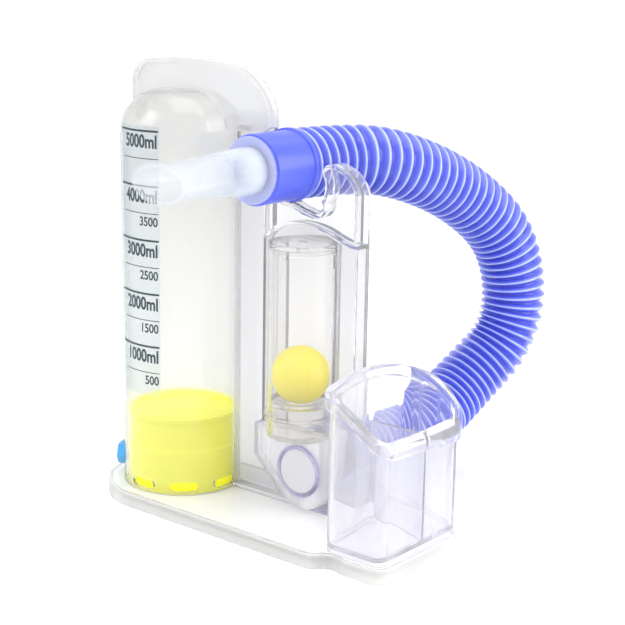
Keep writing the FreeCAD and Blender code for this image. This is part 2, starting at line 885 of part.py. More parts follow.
def make_handle_arch():
    half = handle_width / 2
    rim = plate(arch_face(0), -half, half)
    rim = rim.cut(plate(arch_face(handle_rim), -half - over, half + over))
    under = block(cylinder_x + handle_left + handle_rim, -half - over, handle_foot_z - over,
                  cylinder_x + handle_right - handle_rim, half + over, handle_foot_z + handle_rim + over)
    web = plate(arch_face(handle_rim / 2), -handle_web / 2, handle_web / 2)
    tie = block(cylinder_x + cylinder_radius + handle_tie, -handle_web / 2, handle_foot_z,
                cylinder_x + riser_right - riser_corner, casing_front_y, riser_top_z - riser_corner)
    arch = rim.cut(under).fuse(web).fuse(tie)
    hose_room = rod(hose_radius + handle_hose_clearance, vec(hose_x, -half - over, hose_z),
                    half + casing_front_y + 2 * over, Y_AXIS)
    return arch.cut(hose_room).cut(chamber_outside(bond_gap))


def rounded_plan(x0, y0, x1, y1, radius):
    sag = radius * (1 - math.sqrt(0.5))
    return outline(flat, (x0 + radius, y0), [
        (x1 - radius, y0),
        (x1 - sag, y0 + sag, x1, y0 + radius),
        (x1, y1 - radius),
        (x1 - sag, y1 - sag, x1 - radius, y1),
        (x0 + radius, y1),
        (x0 + sag, y1 - sag, x0, y1 - radius),
        (x0, y0 + radius),
        (x0 + sag, y0 + sag, x0 + radius, y0),
    ])


def bay_plan(inset):
    half = bay_depth / 2 - inset
    return rounded_plan(bay_left + inset, bay_shift_y - half, bay_right - inset, bay_shift_y + half,
                        bay_corner - inset)


def mouth_line(y, heights):
    """One edge of the bay's sloping mouth, as a smooth curve over four heights."""
    span = bay_length / 3
    points = [vec(bay_left + index * span, y, height) for index, height in enumerate(heights)]
    curve = Part.BSplineCurve()
    curve.interpolate(points)
    return curve


def bay_mouth(drop):
    """Everything under the bay's mouth, which slopes from the tall inner wall to the low outer one."""
    reach = bay_depth / 2 + 2 * over
    beyond = bay_rim + 2 * over
    sections = []
    for y, heights in ((-reach, mouth_front_heights), (0, mouth_middle_heights), (reach, mouth_back_heights)):
        lowered = [height - drop for height in heights]
        curve = mouth_line(y, lowered)
        start = curve.StartPoint
        end = curve.EndPoint
        left = vec(bay_left - beyond, y, start.z)
        right = vec(bay_right + beyond, y, end.z)
        floor_left = vec(bay_left - beyond, y, 0)
        floor_right = vec(bay_right + beyond, y, 0)
        edges = [
            Part.LineSegment(left, start).toShape(),
            curve.toShape(),
            Part.LineSegment(end, right).toShape(),
            Part.LineSegment(right, floor_right).toShape(),
            Part.LineSegment(floor_right, floor_left).toShape(),
            Part.LineSegment(floor_left, left).toShape(),
        ]
        sections.append(Part.Wire(edges))
    return Part.makeLoft(sections, True, False)


def make_mouthpiece_bay():
    walls = prism(bay_plan(0), deck_z, bay_stock_z)
    walls = walls.cut(prism(bay_plan(bay_wall), bay_floor_z, bay_stock_z + over))
    walls = walls.cut(prism(bay_plan(bay_wall), deck_z - over, bay_floor_z - bay_wall))
    divider = block(bay_left + bay_wall / 2, divider_y - divider_wall / 2, bay_floor_z - bay_wall / 2,
                    bay_right - bay_wall / 2, divider_y + divider_wall / 2, divider_top_z)
    body = walls.fuse(divider).common(bay_mouth(0))
    band = prism(bay_plan(-bay_rim), bay_floor_z, bay_stock_z)
    band = band.cut(prism(bay_plan(bay_wall / 2), deck_z, bay_stock_z + over))
    band = band.common(bay_mouth(0)).cut(bay_mouth(bay_rim_height))
    return body.fuse(band).removeSplitter()


def make_flow_ball():
    return Part.makeSphere(ball_radius, vec(flow_x, 0, ball_z))


def main():
    os.makedirs("parts", exist_ok=True)
    pieces = {
        "base_skirt": make_base_skirt,
        "base_deck": make_base_deck,
        "volume_chamber": make_volume_chamber,
        "scale_label": make_scale_label,
        "volume_piston": make_volume_piston,
        "goal_pointer": make_goal_pointer,
        "handle_arch": make_handle_arch,
        "rear_casing": make_rear_casing,
        "rear_cover": make_rear_cover,
        "ball_tube": make_ball_tube,
        "ball_seat": make_ball_seat,
        "ball_stop": make_ball_stop,
        "flow_ball": make_flow_ball,
        "front_manifold": make_front_manifold,
        "inlet_ring": make_inlet_ring,
        "inlet_filter": make_inlet_filter,
        "hose_port": make_hose_port,
        "mouthpiece_bay": make_mouthpiece_bay,
        "lower_cuff": make_lower_cuff,
        "breathing_hose": make_breathing_hose,
        "upper_cuff": make_upper_cuff,
        "mouthpiece": make_mouthpiece,
    }
    for name, make in pieces.items():
        shape = make()
        solids = shape.Solids
        print(name, len(solids), round(shape.Volume), shape.isValid())
        if len(solids) == 1:
            shape = solids[0]
        shape.exportStep("parts/" + name + ".step")


main()
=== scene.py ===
import bpy
import bmesh
import math
from mathutils import Matrix, Vector


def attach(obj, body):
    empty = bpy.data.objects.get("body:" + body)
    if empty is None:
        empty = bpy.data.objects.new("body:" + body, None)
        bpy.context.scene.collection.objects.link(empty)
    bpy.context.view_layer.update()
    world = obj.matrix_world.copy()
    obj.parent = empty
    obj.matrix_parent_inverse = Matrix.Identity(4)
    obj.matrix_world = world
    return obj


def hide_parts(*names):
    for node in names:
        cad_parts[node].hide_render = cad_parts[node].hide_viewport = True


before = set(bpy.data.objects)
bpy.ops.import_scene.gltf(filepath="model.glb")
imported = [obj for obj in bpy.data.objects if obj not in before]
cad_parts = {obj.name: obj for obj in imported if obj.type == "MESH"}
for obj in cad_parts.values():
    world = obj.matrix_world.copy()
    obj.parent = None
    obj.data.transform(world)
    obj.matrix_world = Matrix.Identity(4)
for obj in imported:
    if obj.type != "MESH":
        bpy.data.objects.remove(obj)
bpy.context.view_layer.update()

# Sizes here are in millimetres, in the same frame as the model: +X to the bay, -Y to the scale, +Z up
mm = 0.001
cylinderX = -56.4
flowX = 21.6
hoseX = 8.6
hoseZ = 175.0
portZ = 28.2
deckZ = 7.0
glueGap = 0.06


def point(x, y, z):
    return Vector((x * mm, y * mm, z * mm))


# Shaders

def nodeMaterial(name):
    material = bpy.data.materials.new(name)
    material.use_nodes = True
    nodes = material.node_tree.nodes
    links = material.node_tree.links
    nodes.clear()
    out = nodes.new("ShaderNodeOutputMaterial")
    return material, nodes, links, out


def noiseBump(nodes, links, scale, strength, distance):
    coords = nodes.new("ShaderNodeTexCoord")
    noise = nodes.new("ShaderNodeTexNoise")
    noise.inputs["Scale"].default_value = scale
    noise.inputs["Detail"].default_value = 3.0
    bump = nodes.new("ShaderNodeBump")
    bump.inputs["Strength"].default_value = strength
    bump.inputs["Distance"].default_value = distance
    links.new(coords.outputs["Object"], noise.inputs["Vector"])
    links.new(noise.outputs["Fac"], bump.inputs["Height"])
    return noise, bump


# Thin plastic: see-through where it faces the eye, tinted at its edges, with a haze and a gloss
def clearPlastic(name, facing, edge, haze, gloss, hazeColor=(0.95, 0.95, 0.98), ripple=0.08,
                 milkAlong=None):
    material, nodes, links, out = nodeMaterial(name)
    noise, bump = noiseBump(nodes, links, 70.0, ripple, 0.0004)
    weight = nodes.new("ShaderNodeLayerWeight")
    weight.inputs["Blend"].default_value = 0.5
    ramp = nodes.new("ShaderNodeValToRGB")
    ramp.color_ramp.elements[0].position = 0.35
    ramp.color_ramp.elements[0].color = (*facing, 1)
    ramp.color_ramp.elements[1].position = 1.0
    ramp.color_ramp.elements[1].color = (*edge, 1)
    links.new(weight.outputs["Facing"], ramp.inputs["Fac"])
    through = nodes.new("ShaderNodeBsdfTransparent")
    links.new(ramp.outputs["Color"], through.inputs["Color"])
    soft = nodes.new("ShaderNodeBsdfDiffuse")
    soft.inputs["Color"].default_value = (*hazeColor, 1)
    glow = nodes.new("ShaderNodeBsdfTranslucent")
    glow.inputs["Color"].default_value = (*hazeColor, 1)
    milk = nodes.new("ShaderNodeMixShader")
    milk.inputs["Fac"].default_value = 0.5
    links.new(soft.outputs["BSDF"], milk.inputs[1])
    links.new(glow.outputs["BSDF"], milk.inputs[2])
    hazeMix = nodes.new("ShaderNodeMixShader")
    hazeMix.inputs["Fac"].default_value = haze
    if milkAlong:
        coords = nodes.new("ShaderNodeTexCoord")
        split = nodes.new("ShaderNodeSeparateXYZ")
        span = nodes.new("ShaderNodeMapRange")
        first = milkAlong[0][0]
        last = milkAlong[-1][0]
        span.inputs["From Min"].default_value = first
        span.inputs["From Max"].default_value = last
        milky = nodes.new("ShaderNodeValToRGB")
        milky.color_ramp.elements[0].color = (milkAlong[0][1],) * 3 + (1,)
        milky.color_ramp.elements[1].color = (milkAlong[-1][1],) * 3 + (1,)
        for y, amount in milkAlong[1:-1]:
            stop = milky.color_ramp.elements.new((y - first) / (last - first))
            stop.color = (amount, amount, amount, 1)
        links.new(coords.outputs["Object"], split.inputs["Vector"])
        links.new(split.outputs["Y"], span.inputs["Value"])
        links.new(span.outputs["Result"], milky.inputs["Fac"])
        links.new(milky.outputs["Color"], hazeMix.inputs["Fac"])
    links.new(through.outputs["BSDF"], hazeMix.inputs[1])
    links.new(milk.outputs["Shader"], hazeMix.inputs[2])
    shine = nodes.new("ShaderNodeBsdfGlossy")
    shine.inputs["Roughness"].default_value = 0.08
    shine.inputs["Color"].default_value = (1, 1, 1, 1)
    links.new(bump.outputs["Normal"], shine.inputs["Normal"])
    rise = nodes.new("ShaderNodeValToRGB")
    rise.color_ramp.elements[0].position = 0.0
    rise.color_ramp.elements[0].color = (gloss, gloss, gloss, 1)
    rise.color_ramp.elements[1].position = 1.0
    rise.color_ramp.elements[1].color = (0.6, 0.6, 0.6, 1)
    middle = rise.color_ramp.elements.new(0.7)
    middle.color = (gloss * 2.5, gloss * 2.5, gloss * 2.5, 1)
    links.new(weight.outputs["Facing"], rise.inputs["Fac"])
    final = nodes.new("ShaderNodeMixShader")
    links.new(rise.outputs["Color"], final.inputs["Fac"])
    links.new(hazeMix.outputs["Shader"], final.inputs[1])
    links.new(shine.outputs["BSDF"], final.inputs[2])
    links.new(final.outputs["Shader"], out.inputs["Surface"])
    return material


# Clear plastic that bends what is behind it, a little milky; lamps shine through it
def clearGlass(name, color, haze, milkColor=(0.9, 0.9, 0.92), rough=0.03, ripple=0.15, bend=1.46, streaks=False):
    material, nodes, links, out = nodeMaterial(name)
    noise, bump = noiseBump(nodes, links, 55.0, ripple, 0.0004)
    glass = nodes.new("ShaderNodeBsdfPrincipled")
    glass.inputs["Base Color"].default_value = (*color, 1)
    glass.inputs["Transmission Weight"].default_value = 1.0
    glass.inputs["Roughness"].default_value = rough
    glass.inputs["IOR"].default_value = bend
    links.new(bump.outputs["Normal"], glass.inputs["Normal"])
    soft = nodes.new("ShaderNodeBsdfDiffuse")
    soft.inputs["Color"].default_value = (*milkColor, 1)
    milk = nodes.new("ShaderNodeMixShader")
    milk.inputs["Fac"].default_value = haze
    if streaks:
        stretch = nodes.new("ShaderNodeMapping")
        stretch.inputs["Scale"].default_value = (1.0, 1.0, 0.12)
        links.new(noise.inputs["Vector"].links[0].from_socket, stretch.inputs["Vector"])
        links.new(stretch.outputs["Vector"], noise.inputs["Vector"])
        cloud = nodes.new("ShaderNodeValToRGB")
        cloud.color_ramp.elements[0].position = 0.42
        cloud.color_ramp.elements[0].color = (haze, haze, haze, 1)
        cloud.color_ramp.elements[1].position = 0.66
        cloud.color_ramp.elements[1].color = (haze * 3, haze * 3, haze * 3, 1)
        links.new(noise.outputs["Fac"], cloud.inputs["Fac"])
        links.new(cloud.outputs["Color"], milk.inputs["Fac"])
    links.new(glass.outputs["BSDF"], milk.inputs[1])
    links.new(soft.outputs["BSDF"], milk.inputs[2])
    path = nodes.new("ShaderNodeLightPath")
    clear = nodes.new("ShaderNodeBsdfTransparent")
    clear.inputs["Color"].default_value = (*color, 1)
    final = nodes.new("ShaderNodeMixShader")
    links.new(path.outputs["Is Shadow Ray"], final.inputs["Fac"])
    links.new(milk.outputs["Shader"], final.inputs[1])
    links.new(clear.outputs["BSDF"], final.inputs[2])
    links.new(final.outputs["Shader"], out.inputs["Surface"])
    return material


# A coloured plastic of faintly uneven tone; its glow is emission in its own colour, painted light that brightens the
# part though it is no lamp
def softPlastic(name, color, dark, rough, subsurface=0.0, radius=(1, 1, 1), scale=0.004, coat=0.3, ripple=0.05,
                glow=0.0):
    material, nodes, links, out = nodeMaterial(name)
    noise, bump = noiseBump(nodes, links, 45.0, ripple, 0.0003)
    mix = nodes.new("ShaderNodeMix")
    mix.data_type = "RGBA"
    mix.inputs["A"].default_value = (*dark, 1)
    mix.inputs["B"].default_value = (*color, 1)
    links.new(noise.outputs["Fac"], mix.inputs["Factor"])
    shader = nodes.new("ShaderNodeBsdfPrincipled")
    shader.inputs["Roughness"].default_value = rough
    shader.inputs["Subsurface Weight"].default_value = subsurface
    shader.inputs["Subsurface Radius"].default_value = radius
    shader.inputs["Subsurface Scale"].default_value = scale
    shader.inputs["Coat Weight"].default_value = coat
    shader.inputs["Coat Roughness"].default_value = 0.12
    shader.inputs["Emission Strength"].default_value = glow
    links.new(mix.outputs["Result"], shader.inputs["Emission Color"])
    links.new(mix.outputs["Result"], shader.inputs["Base Color"])
    links.new(bump.outputs["Normal"], shader.inputs["Normal"])
    links.new(shader.outputs["BSDF"], out.inputs["Surface"])
    return material


clearBody = clearGlass("clearBody", (0.962, 0.96, 0.966), 0.15, milkColor=(0.58, 0.58, 0.59), rough=0.05,
                       ripple=0.2, bend=1.34)
clearTube = clearGlass("clearTube", (0.982, 0.978, 0.972), 0.10, milkColor=(0.78, 0.77, 0.755), ripple=0.1, bend=1.34)
clearDuct = clearGlass("clearDuct", (0.975, 0.973, 0.98), 0.22, milkColor=(0.87, 0.865, 0.885), rough=0.05, ripple=0.4,
                       bend=1.4, streaks=True)
clearChamber = clearGlass("clearChamber", (0.912, 0.912, 0.896), 0.085, milkColor=(0.72, 0.725, 0.71), rough=0.15,
                          ripple=0.02)
clearHandle = clearGlass("clearHandle", (0.965, 0.965, 0.965), 0.38, milkColor=(0.745, 0.745, 0.74), rough=0.12)
clearBay = clearGlass("clearBay", (0.956, 0.951, 0.972), 0.10, milkColor=(0.81, 0.805, 0.84), ripple=0.35,
                      bend=1.34, streaks=True)
# The inlet ring's violet tint and blue-violet milk are a painted reflection of the blue cuff behind it
clearRing = clearGlass("clearRing", (0.93, 0.92, 0.995), 0.22, milkColor=(0.70, 0.69, 0.95), ripple=0.2)
clearBase = clearGlass("clearBase", (0.955, 0.953, 0.945), 0.34, milkColor=(0.94, 0.937, 0.925), rough=0.08, ripple=0.1)
whiteDeck = softPlastic("whiteDeck", (0.93, 0.93, 0.92), (0.89, 0.89, 0.88), 0.32)
# The piston glows with painted light: emission that brightens it behind the milky cylinder
yellowPiston = softPlastic("yellowPiston", (0.96, 0.955, 0.02), (0.92, 0.92, 0.01), 0.4, subsurface=0.3,
                           radius=(1.0, 0.95, 0.2), glow=0.28)
# The ball glows with painted light too: emission that flattens its shading
yellowBall = softPlastic("yellowBall", (0.81, 0.71, 0.004), (0.77, 0.665, 0.002), 0.45, subsurface=0.2,
                         radius=(1.0, 0.8, 0.15), coat=0.1, glow=0.2)
bluePointer = softPlastic("bluePointer", (0.05, 0.40, 0.86), (0.04, 0.34, 0.80), 0.3)
blueCuff = softPlastic("blueCuff", (0.09, 0.135, 0.79), (0.07, 0.105, 0.73), 0.3, subsurface=0.3,
                       radius=(0.3, 0.3, 1.0))
frostedWhite = clearPlastic("frostedWhite", (0.98, 0.982, 0.982), (0.90, 0.905, 0.91), 0.24, 0.03,
                            hazeColor=(0.88, 0.915, 0.965), ripple=0.02,
                            milkAlong=[(-0.081, 0.20), (-0.045, 0.25), (-0.027, 0.8), (-0.0226, 0.7),
                                       (-0.0222, 0.14)])
filterFoam = softPlastic("filterFoam", (0.66, 0.66, 0.69), (0.60, 0.60, 0.63), 0.8, coat=0.0, ripple=0.3)
filmClear = clearPlastic("filmClear", (0.935, 0.962, 0.975), (0.89, 0.93, 0.94), 0.06, 0.01, ripple=0.0)
printInk = softPlastic("printInk", (0.012, 0.05, 0.06), (0.008, 0.035, 0.045), 0.5, coat=0.1)


# Soft blue plastic, darker in its valleys with painted shade and paler on its crests with a painted highlight
def hosePlastic():
    material, nodes, links, out = nodeMaterial("blueHose")
    noise, bump = noiseBump(nodes, links, 120.0, 0.04, 0.0002)
    # The corrugation attribute picks a colour from dark painted shade in the valleys to a pale painted highlight on the
    # crests
    wave = nodes.new("ShaderNodeAttribute")
    wave.attribute_name = "foldShadeCrestHighlight"
    tone = nodes.new("ShaderNodeValToRGB")
    ramp = tone.color_ramp
    ramp.elements[0].position = 0.0
    ramp.elements[0].color = (0.04, 0.055, 0.56, 1)
    ramp.elements[1].position = 1.0
    ramp.elements[1].color = (0.54, 0.60, 0.93, 1)
    for place, color in ((0.25, (0.07, 0.10, 0.72, 1)), (0.78, (0.13, 0.175, 0.80, 1)), (0.92, (0.30, 0.36, 0.86, 1))):
        ramp.elements.new(place).color = color
    links.new(wave.outputs["Fac"], tone.inputs["Fac"])
    blotch = nodes.new("ShaderNodeMix")
    blotch.data_type = "RGBA"
    blotch.blend_type = "MULTIPLY"
    blotch.inputs["B"].default_value = (0.82, 0.84, 0.96, 1)
    links.new(noise.outputs["Fac"], blotch.inputs["Factor"])
    links.new(tone.outputs["Color"], blotch.inputs["A"])
    shader = nodes.new("ShaderNodeBsdfPrincipled")
    shader.inputs["Roughness"].default_value = 0.24
    shader.inputs["Subsurface Weight"].default_value = 0.15
    shader.inputs["Subsurface Radius"].default_value = (0.3, 0.3, 1.0)
    shader.inputs["Subsurface Scale"].default_value = 0.002
    shader.inputs["Coat Weight"].default_value = 0.6
    shader.inputs["Coat Roughness"].default_value = 0.08
    links.new(blotch.outputs["Result"], shader.inputs["Base Color"])
    links.new(bump.outputs["Normal"], shader.inputs["Normal"])
    links.new(shader.outputs["BSDF"], out.inputs["Surface"])
    return material


blueHose = hosePlastic()


# Mesh helpers

# The chain of 2-D points with each inner corner rounded; its ends are kept
def rounded(points, radius, steps=4):
    result = [points[0]]
    for index in range(1, len(points) - 1):
        result += corner(points[index - 1], points[index], points[index + 1], radius, steps)
    result.append(points[-1])
    return result


def roundedLoop(points, radius, steps=4):
    result = []
    count = len(points)
    for index in range(count):
        result += corner(points[index - 1], points[index], points[(index + 1) % count], radius, steps)
    return result


def corner(before, at, after, radius, steps):
    a = Vector(before) - Vector(at)
    b = Vector(after) - Vector(at)
    if a.length < 1e-9 or b.length < 1e-9:
        return [tuple(at)]
    cut = min(radius, 0.45 * a.length, 0.45 * b.length)
    a.normalize()
    b.normalize()
    if a.dot(b) < -0.999 or cut < 1e-6:
        return [tuple(at)]
    start = Vector(at) + a * cut
    end = Vector(at) + b * cut
    result = []
    for step in range(steps + 1):
        t = step / steps
        p = start * (1 - t) ** 2 + Vector(at) * 2 * t * (1 - t) + end * t ** 2
        result.append((p.x, p.y))
    return result


def finish(name, mesh, material, body, nodes, smoothAngle=35):
    bm = bmesh.new()
    bm.from_mesh(mesh)
    bmesh.ops.remove_doubles(bm, verts=bm.verts, dist=2e-6)
    bmesh.ops.recalc_face_normals(bm, faces=bm.faces)
    for face in bm.faces:
        face.smooth = True
    for edge in bm.edges:
        if len(edge.link_faces) == 2 and edge.calc_face_angle(0) > math.radians(smoothAngle):
            edge.smooth = False
    bm.to_mesh(mesh)
    bm.free()
    obj = bpy.data.objects.new(name, mesh)
    bpy.context.scene.collection.objects.link(obj)
    mesh.materials.clear()
    mesh.materials.append(material)
    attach(obj, body)
    if nodes:
        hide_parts(*nodes)
    return obj


# Rings of points joined side to side; closed joins the last ring to the first
def ringMesh(name, rings, closed, capStart=False, capEnd=False):
    bm = bmesh.new()
    made = []
    for ring in rings:
        if len(ring) == 1:
            made.append([bm.verts.new(ring[0])])
        else:
            made.append([bm.verts.new(p) for p in ring])
    count = len(made)
    pairs = range(count) if closed else range(count - 1)
    for index in pairs:
        a = made[index]
        b = made[(index + 1) % count]
        size = max(len(a), len(b))
        for k in range(size):
            k2 = (k + 1) % size
            if len(a) == 1 and len(b) == 1:
                continue
            if len(a) == 1:
                bm.faces.new((a[0], b[k2], b[k]))
            elif len(b) == 1:
                bm.faces.new((a[k], a[k2], b[0]))
            else:
                bm.faces.new((a[k], a[k2], b[k2], b[k]))
    if capStart:
        bm.faces.new(made[0][::-1])
    if capEnd:
        bm.faces.new(made[-1])
    mesh = bpy.data.meshes.new(name)
    bm.to_mesh(mesh)
    bm.free()
    return mesh


# A profile of (radius, height) turned about the Z or the Y line through a0, b0
def lathe(name, profile, closed, axis, a0, b0, segments=96):
    rings = []
    for radius, height in profile:
        if radius < 1e-6:
            rings.append([point(a0, b0, height) if axis == "Z" else point(a0, height, b0)])
            continue
        ring = []
        for k in range(segments):
            angle = 2 * math.pi * k / segments
            u = radius * math.cos(angle)
            v = radius * math.sin(angle)
            ring.append(point(a0 + u, b0 + v, height) if axis == "Z" else point(a0 + u, height, b0 + v))
        rings.append(ring)
    return ringMesh(name, rings, closed)


def boxMesh(name, low, high):
    bm = bmesh.new()
    bmesh.ops.create_cube(bm, size=1.0)
    size = [high[i] - low[i] for i in range(3)]
    for v in bm.verts:
        v.co = point(*[low[i] + (v.co[i] + 0.5) * size[i] for i in range(3)])
    mesh = bpy.data.meshes.new(name)
    bm.to_mesh(mesh)
    bm.free()
    return mesh


# Cuts away the given meshes and keeps the result as plain mesh
def cutWith(obj, cutters):
    for cutter in cutters:
        tool = bpy.data.objects.new("cutter", cutter)
        bpy.context.scene.collection.objects.link(tool)
        modifier = obj.modifiers.new("cut", "BOOLEAN")
        modifier.operation = "DIFFERENCE"
        modifier.solver = "EXACT"
        modifier.object = tool
        depsgraph = bpy.context.evaluated_depsgraph_get()
        mesh = bpy.data.meshes.new_from_object(obj.evaluated_get(depsgraph))
        obj.modifiers.remove(modifier)
        obj.data = mesh
        bpy.data.objects.remove(tool)
    return obj


# Fuses another closed mesh into the piece
def joinWith(obj, mesh):
    tool = bpy.data.objects.new("joined", mesh)
    bpy.context.scene.collection.objects.link(tool)
    modifier = obj.modifiers.new("join", "BOOLEAN")
    modifier.operation = "UNION"
    modifier.solver = "EXACT"
    modifier.object = tool
    material = obj.data.materials[0]
    depsgraph = bpy.context.evaluated_depsgraph_get()
    result = bpy.data.meshes.new_from_object(obj.evaluated_get(depsgraph))
    obj.modifiers.remove(modifier)
    result.materials.clear()
    result.materials.append(material)
    obj.data = result
    bpy.data.objects.remove(tool)


# The model's own piece, its triangles merged and its edges rounded a little
def softenEdges(obj, width, angle=30):
    weld = obj.modifiers.new("weld", "WELD")
    weld.merge_threshold = 2e-6
    flatten = obj.modifiers.new("flatten", "DECIMATE")
    flatten.decimate_type = "DISSOLVE"
    flatten.angle_limit = math.radians(1.0)
    bevel = obj.modifiers.new("bevel", "BEVEL")
    bevel.width = width * mm
    bevel.segments = 2
    bevel.limit_method = "ANGLE"
    bevel.angle_limit = math.radians(angle)
    bevel.use_clamp_overlap = True
    normals = obj.modifiers.new("normals", "WEIGHTED_NORMAL")
    normals.keep_sharp = True
    for polygon in obj.data.polygons:
        polygon.use_smooth = True


def dress(node, material, width=0.3, shrink=0.0):
    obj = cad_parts[node]
    obj.data.materials.clear()
    obj.data.materials.append(material)
    softenEdges(obj, width)
    if shrink:
        draw = obj.modifiers.new("shrink", "DISPLACE")
        draw.strength = -shrink * mm
        draw.mid_level = 0
    return obj


# Base

dress("base_skirt", clearBase, 0.5)
dress("base_deck", whiteDeck, 0.4, glueGap)
print("stage base done")

# Volume cylinder

chamber = {
    "radius": 30.0,
    "wall": 1.6,
    "footZ": 6.2,
    "shoulderZ": 186.0,
    "shoulder": 20.0,
    "ventCount": 8,
    "ventHalf": 7.26,
    "ventHeight": 5.0,
    "ventZ": 11.2,
    "railAngle": 206.0,
    "railNeck": 3.0,
    "railWidth": 5.0,
    "railReach": 31.4,
    "railHead": 0.6,
    "railFootZ": 7.6,
    "railTopZ": 184.0,
    "windowLow": (-42.2, 7.5, 176.0),
    "windowHigh": (-25.4, 12.6, 188.0),
}


def chamberProfile():
    outside = chamber["radius"]
    inside = outside - chamber["wall"]
    center = outside - chamber["shoulder"]
    points = [(inside, chamber["footZ"]), (outside - 0.3, chamber["footZ"]), (outside, chamber["footZ"] + 0.3)]
    steps = 24
    for k in range(steps + 1):
        angle = k * math.pi / 2 / steps
        points.append((center + chamber["shoulder"] * math.cos(angle),
                       chamber["shoulderZ"] + chamber["shoulder"] * math.sin(angle)))
    points.append((0, points[-1][1]))
    inner = []
    bend = chamber["shoulder"] - chamber["wall"]
    for k in range(steps + 1):
        angle = k * math.pi / 2 / steps
        inner.append((center + bend * math.cos(angle), chamber["shoulderZ"] + bend * math.sin(angle)))
    points.append((0, inner[-1][1]))
    return points + inner[::-1]


def ventCutters():
    cutters = []
    for index in range(chamber["ventCount"]):
        bm = bmesh.new()
        loop = []
        radius = chamber["ventHeight"] / 2
        half = chamber["ventHalf"] - radius
        for end, start in ((half, -90), (-half, 90)):
            for k in range(13):
                angle = math.radians(start + k * 15)
                loop.append((end + radius * math.cos(angle), chamber["ventZ"] + radius * math.sin(angle)))
        front = [bm.verts.new((x * mm, -31 * mm, z * mm)) for x, z in loop]
        back = [bm.verts.new((x * mm, -26 * mm, z * mm)) for x, z in loop]
        bm.faces.new(front)
        bm.faces.new(back[::-1])
        count = len(loop)
        for k in range(count):
            bm.faces.new((front[k], back[k], back[(k + 1) % count], front[(k + 1) % count]))
        bmesh.ops.recalc_face_normals(bm, faces=bm.faces)
        angle = index * 2 * math.pi / chamber["ventCount"]
        turn = Matrix.Translation(point(cylinderX, 0, 0)) @ Matrix.Rotation(angle, 4, "Z")
        bm.transform(turn)
        mesh = bpy.data.meshes.new("vent")
        bm.to_mesh(mesh)
        bm.free()
        cutters.append(mesh)
    return cutters


# The T-shaped goal rail, drawn on the +X side and turned round to its place
def railMesh():
    inner = chamber["radius"] - chamber["wall"] / 2
    face = chamber["railReach"]
    head = face - chamber["railHead"]
    neck = chamber["railNeck"] / 2
    wide = chamber["railWidth"] / 2
    outline = [(inner, -neck), (head, -neck), (head, -wide), (face, -wide), (face, wide), (head, wide), (head, neck),
               (inner, neck)]
    turn = Matrix.Translation(point(cylinderX, 0, 0)) @ Matrix.Rotation(math.radians(chamber["railAngle"]), 4, "Z")
    rings = [[turn @ point(x, y, z) for x, y in outline] for z in (chamber["railFootZ"], chamber["railTopZ"])]
    return ringMesh("goalRail", rings, False, True, True)


def makeChamber():
    mesh = lathe("volumeChamber", chamberProfile(), True, "Z", cylinderX, 0, 160)
    obj = finish("volumeChamber", mesh, clearChamber, "housing", ["volume_chamber"])
    cutWith(obj, ventCutters() + [boxMesh("window", chamber["windowLow"], chamber["windowHigh"])])
    obj.data.materials.clear()
    obj.data.materials.append(clearChamber)
    joinWith(obj, railMesh())
    return obj


makeChamber()
print("stage cylinder done")

# Piston, ball and pointer

piston = {
    "radius": 28.1,
    "wall": 1.4,
    "bottomZ": 7.3,
    "height": 38.6,
    "land": 2.4,
    "band": 21.5,
    "relief": 0.7,
    "crown": 3.0,
}


def makePiston():
    outer = piston["radius"]
    waist = outer - piston["relief"]
    inner = waist - piston["wall"]
    low = piston["bottomZ"]
    top = low + piston["height"]
    crown = inner - 1.0
    crownZ = top - piston["crown"]
    chain = [
        (inner, low), (outer, low), (outer, low + piston["band"]), (waist, low + piston["band"] + piston["relief"]),
        (waist, top - piston["land"] - piston["relief"]), (outer, top - piston["land"]), (outer, top),
        (outer - piston["wall"], top), (crown, crownZ),
    ]
    profile = rounded(chain, 0.4, 3)
    dish = (crown ** 2 + piston["crown"] ** 2) / (2 * piston["crown"])
    steps = 12
    dome = []
    for k in range(1, steps + 1):
        r = crown * (1 - k / steps)
        dome.append((r, crownZ + piston["crown"] - dish + math.sqrt(dish ** 2 - r ** 2)))
    profile += dome
    profile += [(r, z - piston["wall"]) for r, z in dome[::-1]]
    profile += [(crown, crownZ - piston["wall"]), (inner, crownZ - piston["wall"] - 2.0)]
    mesh = lathe("volumePiston", profile, True, "Z", cylinderX, 0, 128)
    return finish("volumePiston", mesh, yellowPiston, "piston", ["volume_piston"])


makePiston()


ball = {"radius": 14.0, "restZ": 76.7}


def makeBall():
    mesh = bpy.data.meshes.new("flowBall")
    bm = bmesh.new()
    bmesh.ops.create_uvsphere(bm, u_segments=96, v_segments=48, radius=ball["radius"] * mm)
    bm.transform(Matrix.Translation(point(flowX, 0, ball["restZ"])))
    bm.to_mesh(mesh)
    bm.free()
    return finish("flowBall", mesh, yellowBall, "ball", ["flow_ball"])


makeBall()
dress("goal_pointer", bluePointer, 0.4)
print("stage moving pieces done")

# Casing, ball tube and manifold

dress("rear_casing", clearBody, 0.35)
dress("rear_cover", clearBody, 0.3)
dress("front_manifold", clearDuct, 0.4)
dress("handle_arch", clearHandle, 0.4)
dress("ball_tube", clearTube, 0.2)
dress("ball_seat", clearTube, 0.3)
dress("ball_stop", clearTube, 0.3)
dress("inlet_ring", clearRing, 0.2)
dress("hose_port", clearBody, 0.2)
dress("inlet_filter", filterFoam, 0.2)
dress("scale_label", filmClear, 0.03)
print("stage casing done")

# Mouthpiece bay

